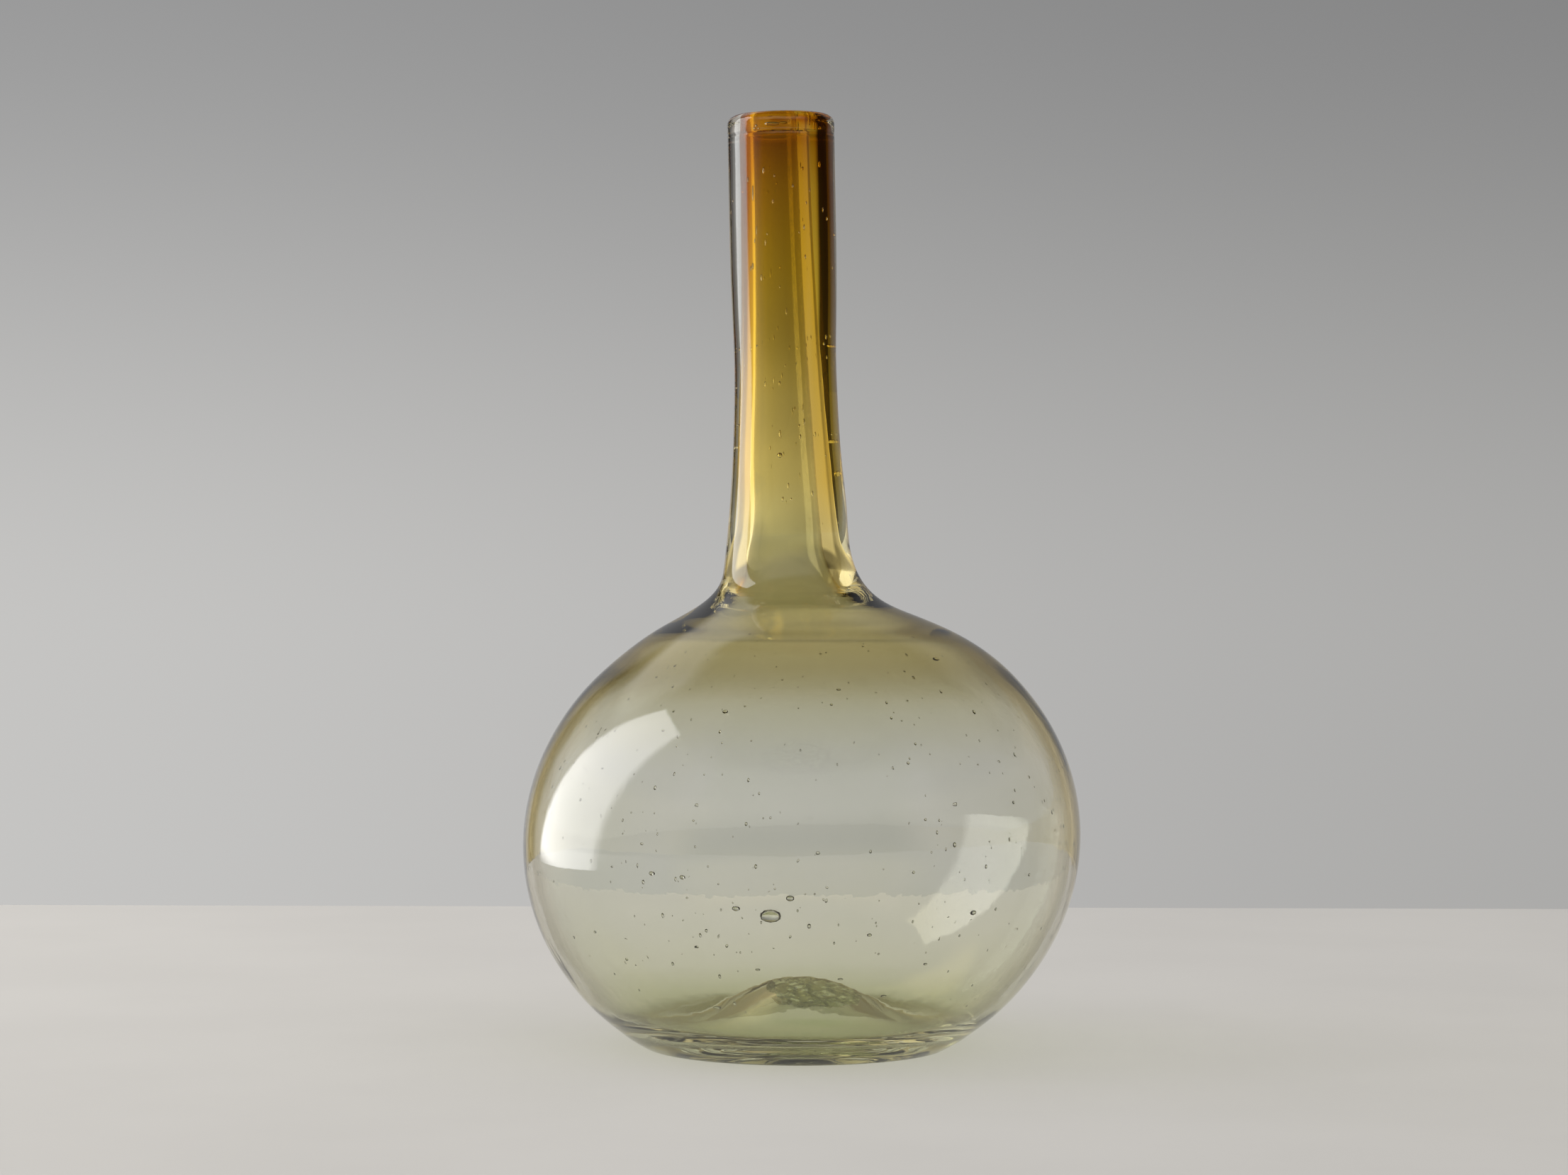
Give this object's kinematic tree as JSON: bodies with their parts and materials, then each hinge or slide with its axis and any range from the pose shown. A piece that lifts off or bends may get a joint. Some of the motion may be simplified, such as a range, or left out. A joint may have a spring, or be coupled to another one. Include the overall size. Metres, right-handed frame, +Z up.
{
  "type": "long-necked flask",
  "caption": "Free-blown long-necked glass flask: pale green flattened globe with a pushed-up base, thick amber-lined neck and rounded lip.",
  "frame": {"origin": "on the table, under the middle of the globe's widest girth", "axes": "+Z up, from the foot to the mouth; the globe leans a little to +X and the neck a little to -X; the front is -Y"},
  "size_m": [0.1796, 0.1796, 0.3003],
  "materials": {
    "sage_glass": "pale sage-green blown glass, fire-polished, with seeds and faint draw lines",
    "olive_glass": "clear olive-tinted blown glass, fire-polished, with drawn seeds",
    "amber_glass": "amber glass fading to olive yellow down the neck",
    "lip_glass": "deep amber glass, fire-polished",
    "scar_glass": "rough broken green glass"
  },
  "bodies": {
    "root": {"bulb": "sage_glass", "neck": "olive_glass", "neck_lining": "amber_glass", "lip_ring": "lip_glass", "pontil_wad": "scar_glass"}
  },
  "joints": []
}
